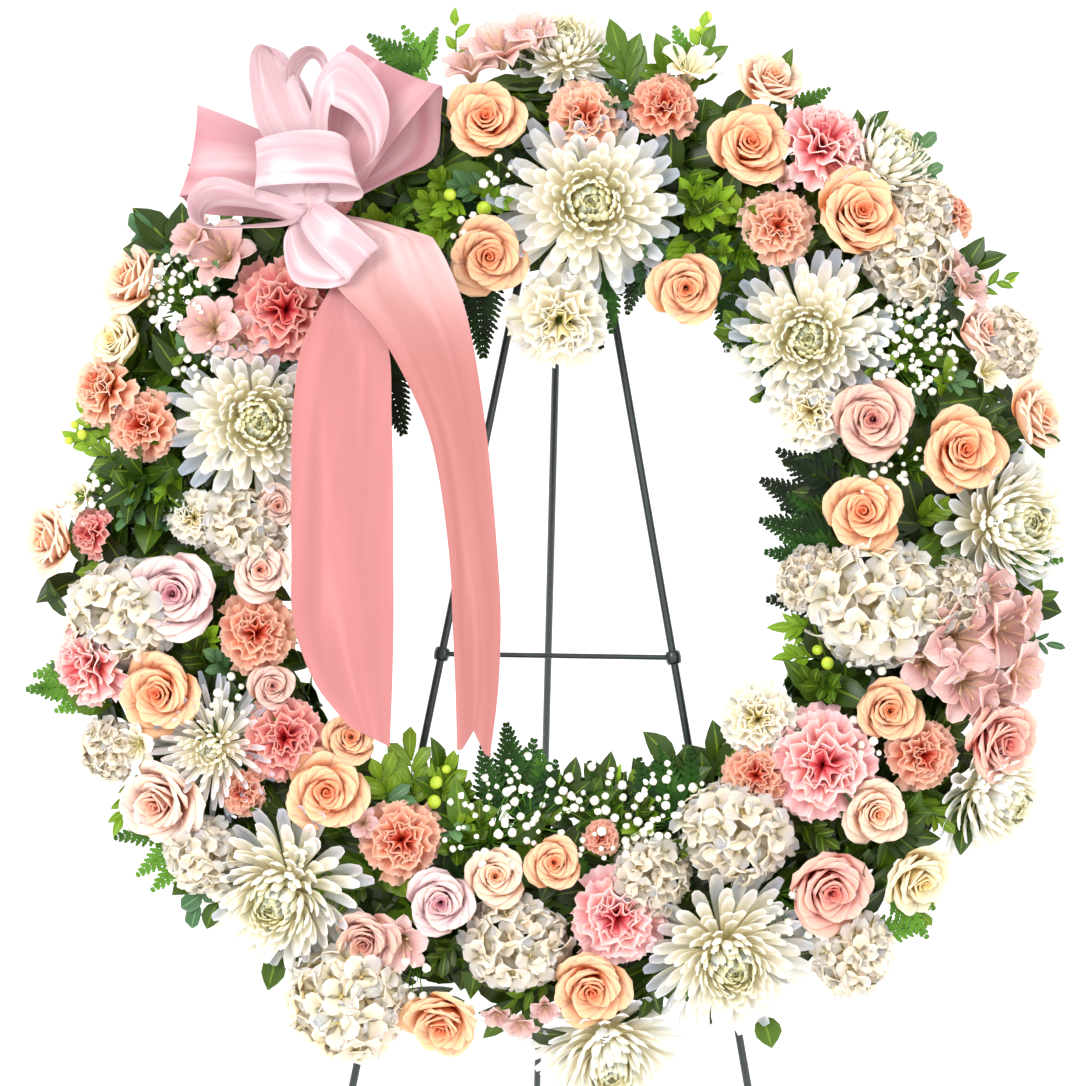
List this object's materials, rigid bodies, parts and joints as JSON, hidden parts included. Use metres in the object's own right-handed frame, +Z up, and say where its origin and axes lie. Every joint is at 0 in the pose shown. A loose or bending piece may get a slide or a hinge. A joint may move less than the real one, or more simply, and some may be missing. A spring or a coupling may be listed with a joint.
{
  "type": "funeral wreath on a wire easel",
  "caption": "Round standing wreath of mums, roses, carnations and greenery on a foam ring with a satin bow, banded to a folding three-legged wire easel.",
  "frame": {"origin": "on the floor, below the middle of the object's bounding box", "axes": "+Z up, +Y away from the viewer towards the rear leg's foot, +X to the viewer's right"},
  "size_m": [0.7912, 0.671, 1.2394],
  "materials": {
    "wire": "satin dark green paint",
    "tray": "moulded plastic",
    "foam": "matt open-celled foam",
    "satin_pink": "satin ribbon",
    "satin_pale": "satin ribbon",
    "white_petals": "soft petals",
    "peach_petals": "soft petals",
    "pink_petals": "soft petals",
    "coral_petals": "soft petals",
    "blush_petals": "soft petals",
    "gypsophila": "small florets",
    "greens": "satin leaves"
  },
  "bodies": {
    "stand_and_wreath": {"blush_roses_left": "blush_petals", "bow_narrow_loops": "satin_pale", "bow_wide_loops": "satin_pink", "coral_carnation_left": "coral_petals", "crossbar": "wire", "foam_ring": "foam", "front_leg_left": "wire", "front_leg_right": "wire", "greens_hole_bottom": "greens", "greens_hole_right": "greens", "greens_hole_top": "greens", "greens_left": "greens", "greens_lower_right": "greens", "greens_right": "greens", "greens_rim_left": "greens", "greens_rim_lower_left": "greens", "greens_rim_lower_right": "greens", "greens_rim_right": "greens", "greens_rim_top": "greens", "greens_rim_upper_right": "greens", "greens_top_left": "greens", "gypsophila_bottom": "gypsophila", "gypsophila_right": "gypsophila", "gypsophila_upper_left": "gypsophila", "peach_rose_left": "peach_petals", "peach_rose_left_rim": "peach_petals", "peach_roses_bottom": "peach_petals", "peach_roses_bottom_left": "peach_petals", "peach_roses_lower_left": "peach_petals", "peach_roses_lower_right": "peach_petals", "peach_roses_right": "peach_petals", "peach_roses_top_left": "peach_petals", "peach_roses_top_right": "peach_petals", "peach_roses_upper_left": "peach_petals", "pink_carnation_left_rim": "pink_petals", "pink_carnation_under_bow": "pink_petals", "pink_carnation_upper_right": "pink_petals", "pink_carnations_lower_right": "pink_petals", "pink_carnations_top": "pink_petals", "pink_lilies_right": "pink_petals", "pink_lilies_right_top": "pink_petals", "ribbon_tail_left": "satin_pink", "ribbon_tail_right": "satin_pink", "ring_tray": "tray", "white_carnation_lower_right": "white_petals", "white_hydrangea_bottom": "white_petals", "white_hydrangea_left": "white_petals", "white_hydrangea_lower_right": "white_petals", "white_hydrangea_right_rim": "white_petals", "white_mum_above_hole": "white_petals", "white_mum_and_hydrangea_right": "white_petals", "white_mum_bottom": "white_petals", "white_mum_lower_left": "white_petals", "white_mum_lower_right_rim": "white_petals", "white_mum_right": "white_petals", "white_mum_top": "white_petals", "white_mum_upper_left": "white_petals", "white_mum_upper_right": "white_petals", "white_spider_mum_left": "white_petals"},
    "rear_leg": {"rear_leg": "wire"}
  },
  "joints": [
    {"name": "rear_leg_fold", "type": "hinge", "parent": "stand_and_wreath", "child": "rear_leg", "pos_m": [0.0076, -0.05496, 1.19197], "axis": [1, 0, 0], "range_deg": [-28, 0]}
  ]
}
